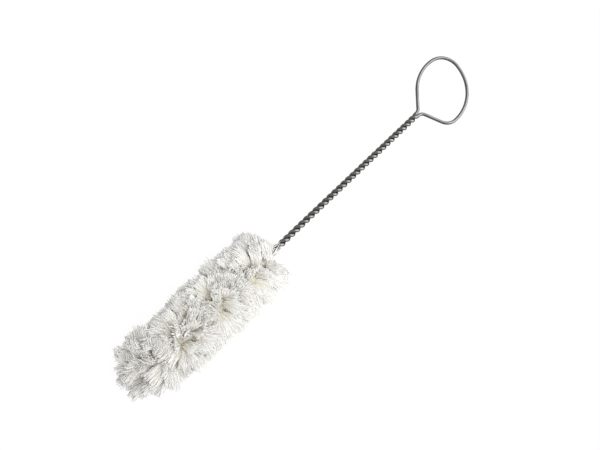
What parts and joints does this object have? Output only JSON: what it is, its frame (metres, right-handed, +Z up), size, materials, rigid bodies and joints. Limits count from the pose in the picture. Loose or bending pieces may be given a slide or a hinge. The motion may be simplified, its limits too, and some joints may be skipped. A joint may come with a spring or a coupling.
{
  "type": "cotton bottle brush",
  "caption": "Bottle brush with a round mop head of white cotton yarn held in a twisted wire stem that ends in a finger loop.",
  "frame": {"origin": "on the surface that the brush lies on, under the middle of its outline", "axes": "+X runs along the stem from the cotton head to the finger loop, +Z is up, and the finger loop lies level in X and Y"},
  "size_m": [0.2308, 0.0338, 0.0326],
  "materials": {
    "steel_wire": "bright drawn steel wire, smooth with a soft sheen",
    "cotton_yarn": "soft bleached cotton yarn, matt, with loose fibre ends"
  },
  "bodies": {
    "root": {"stem_wire": "steel_wire", "yarn_tuft_01": "cotton_yarn", "yarn_tuft_02": "cotton_yarn", "yarn_tuft_03": "cotton_yarn", "yarn_tuft_04": "cotton_yarn", "yarn_tuft_05": "cotton_yarn", "yarn_tuft_06": "cotton_yarn", "yarn_tuft_07": "cotton_yarn", "yarn_tuft_08": "cotton_yarn", "yarn_tuft_09": "cotton_yarn", "yarn_tuft_10": "cotton_yarn", "yarn_tuft_11": "cotton_yarn", "yarn_tuft_12": "cotton_yarn", "yarn_tuft_13": "cotton_yarn", "yarn_tuft_14": "cotton_yarn", "yarn_tuft_15": "cotton_yarn", "yarn_tuft_16": "cotton_yarn", "yarn_tuft_17": "cotton_yarn", "yarn_tuft_18": "cotton_yarn", "yarn_tuft_19": "cotton_yarn", "yarn_tuft_20": "cotton_yarn", "yarn_tuft_21": "cotton_yarn", "yarn_tuft_22": "cotton_yarn", "yarn_tuft_23": "cotton_yarn", "yarn_tuft_24": "cotton_yarn", "yarn_tuft_25": "cotton_yarn", "yarn_tuft_26": "cotton_yarn", "yarn_tuft_27": "cotton_yarn", "yarn_tuft_28": "cotton_yarn", "yarn_tuft_29": "cotton_yarn", "yarn_tuft_30": "cotton_yarn", "yarn_tuft_31": "cotton_yarn", "yarn_tuft_32": "cotton_yarn", "yarn_tuft_33": "cotton_yarn", "yarn_tuft_34": "cotton_yarn", "yarn_tuft_35": "cotton_yarn", "yarn_tuft_36": "cotton_yarn", "yarn_tuft_37": "cotton_yarn", "yarn_tuft_38": "cotton_yarn", "yarn_tuft_39": "cotton_yarn", "yarn_tuft_40": "cotton_yarn", "yarn_tuft_41": "cotton_yarn"}
  },
  "joints": []
}
